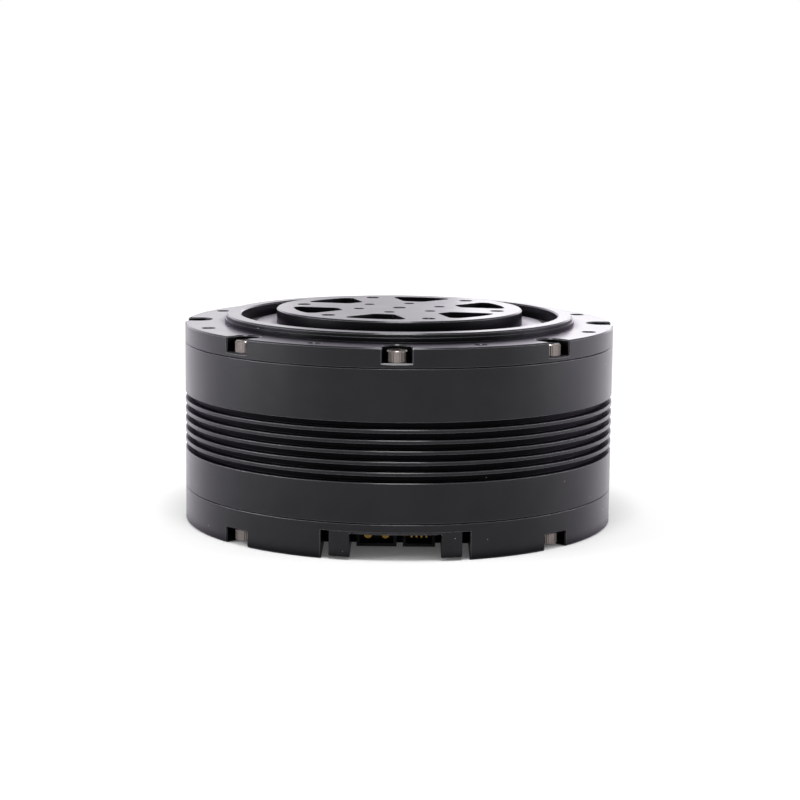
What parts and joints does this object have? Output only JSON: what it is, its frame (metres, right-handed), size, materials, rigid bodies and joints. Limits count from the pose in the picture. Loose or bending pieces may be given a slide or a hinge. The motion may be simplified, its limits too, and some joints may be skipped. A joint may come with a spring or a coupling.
{
  "type": "robot joint actuator",
  "caption": "Flat round robot joint actuator: finned black housing, geared motor inside, pocketed output flange on a raised front collar.",
  "frame": {"origin": "centre of the rear face of the rear cover, on the output axis", "axes": "+Z along the output axis towards the output flange, -Y towards the connector recess, +X to the right seen from the recess"},
  "size_m": [0.116, 0.116, 0.0572],
  "materials": {
    "anodised_casing": "bead-blasted, black anodised, satin",
    "anodised_output": "bead-blasted, black anodised, satin",
    "screw_steel": "bright nickel-plated socket screws",
    "gear_steel": "ground and hardened",
    "bearing_steel": "polished bearing steel",
    "cage_brass": "pressed brass strip",
    "bronze": "sintered bronze",
    "seal_rubber": "matt nitrile rubber",
    "lamination_steel": "stacked electrical steel",
    "copper_winding": "enamelled copper",
    "magnet_plating": "nickel-plated neodymium",
    "machined_aluminium": "clear, machined",
    "board_laminate": "solder-masked glass laminate",
    "chip_plastic": "moulded epoxy",
    "capacitor_ceramic": "ceramic body",
    "thermal_silicone": "soft filled silicone",
    "spacer_steel": "turned",
    "connector_plastic": "glass-filled nylon, black",
    "contact_gold": "gold-plated"
  },
  "bodies": {
    "root": {"rear_cover": "anodised_casing", "finned_housing": "anodised_casing", "front_cover": "anodised_casing", "front_cover_screws": "screw_steel", "rear_cover_screws": "screw_steel", "ring_gear": "gear_steel", "ring_gear_screws": "screw_steel", "output_bearing_outer_ring_rear": "bearing_steel", "output_bearing_outer_ring_front": "bearing_steel", "output_seal": "seal_rubber", "stator_core": "lamination_steel", "stator_coils": "copper_winding", "phase_pins": "copper_winding", "rear_bearing_plate": "machined_aluminium", "rotor_bearing_outer_ring": "bearing_steel", "driver_board": "board_laminate", "board_spacers": "spacer_steel", "board_screws": "screw_steel", "power_transistors": "chip_plastic", "thermal_pad": "thermal_silicone", "bus_capacitors": "capacitor_ceramic", "control_chips": "chip_plastic", "encoder_chip": "chip_plastic", "power_connector": "connector_plastic", "signal_connector": "connector_plastic", "power_contacts": "contact_gold", "signal_contacts": "contact_gold", "connector_frame": "anodised_casing"},
    "output": {"output_flange": "anodised_output", "planet_carrier": "machined_aluminium", "carrier_screws": "screw_steel", "planet_pins": "bearing_steel", "planet_washers": "bronze", "pilot_bush": "bronze", "output_bearing_inner_ring": "bearing_steel"},
    "rotor": {"rotor_hub": "machined_aluminium", "rotor_back_iron": "lamination_steel", "rotor_magnets": "magnet_plating", "sun_gear": "gear_steel", "encoder_magnet": "magnet_plating", "rotor_bearing_inner_ring": "bearing_steel"},
    "planet_1": {"planet_gear_1": "gear_steel", "planet_bush_1": "bronze"},
    "planet_2": {"planet_gear_2": "gear_steel", "planet_bush_2": "bronze"},
    "planet_3": {"planet_gear_3": "gear_steel", "planet_bush_3": "bronze"},
    "output_rollers": {"output_bearing_rollers": "bearing_steel", "output_bearing_cage": "cage_brass"},
    "rotor_balls": {"rotor_bearing_balls": "bearing_steel", "rotor_bearing_cage": "cage_brass"}
  },
  "joints": [
    {"name": "output_spin", "type": "hinge", "parent": "root", "child": "output", "pos_m": [0, 0, 0.045], "axis": [0, 0, 1], "continuous": true},
    {"name": "rotor_spin", "type": "hinge", "parent": "root", "child": "rotor", "pos_m": [0, 0, 0.0135], "axis": [0, 0, 1], "continuous": true},
    {"name": "output_roller_orbit", "type": "hinge", "parent": "root", "child": "output_rollers", "pos_m": [0, 0, 0.0454], "axis": [0, 0, 1], "continuous": true},
    {"name": "rotor_ball_orbit", "type": "hinge", "parent": "root", "child": "rotor_balls", "pos_m": [0, 0, 0.0135], "axis": [0, 0, 1], "continuous": true},
    {"name": "planet_1_spin", "type": "hinge", "parent": "output", "child": "planet_1", "pos_m": [0.0158, 0.00477, 0.0302], "axis": [0, 0, 1], "continuous": true},
    {"name": "planet_2_spin", "type": "hinge", "parent": "output", "child": "planet_2", "pos_m": [-0.01203, 0.0113, 0.0302], "axis": [0, 0, 1], "continuous": true},
    {"name": "planet_3_spin", "type": "hinge", "parent": "output", "child": "planet_3", "pos_m": [-0.00377, -0.01606, 0.0302], "axis": [0, 0, 1], "continuous": true}
  ],
  "couplings": [
    {"joint": "rotor_spin", "follows": "output_spin", "ratio": 5.5},
    {"joint": "output_roller_orbit", "follows": "output_spin", "ratio": 0.4779},
    {"joint": "rotor_ball_orbit", "follows": "output_spin", "ratio": 2.3798},
    {"joint": "planet_1_spin", "follows": "output_spin", "ratio": -2.5714},
    {"joint": "planet_2_spin", "follows": "output_spin", "ratio": -2.5714},
    {"joint": "planet_3_spin", "follows": "output_spin", "ratio": -2.5714}
  ]
}
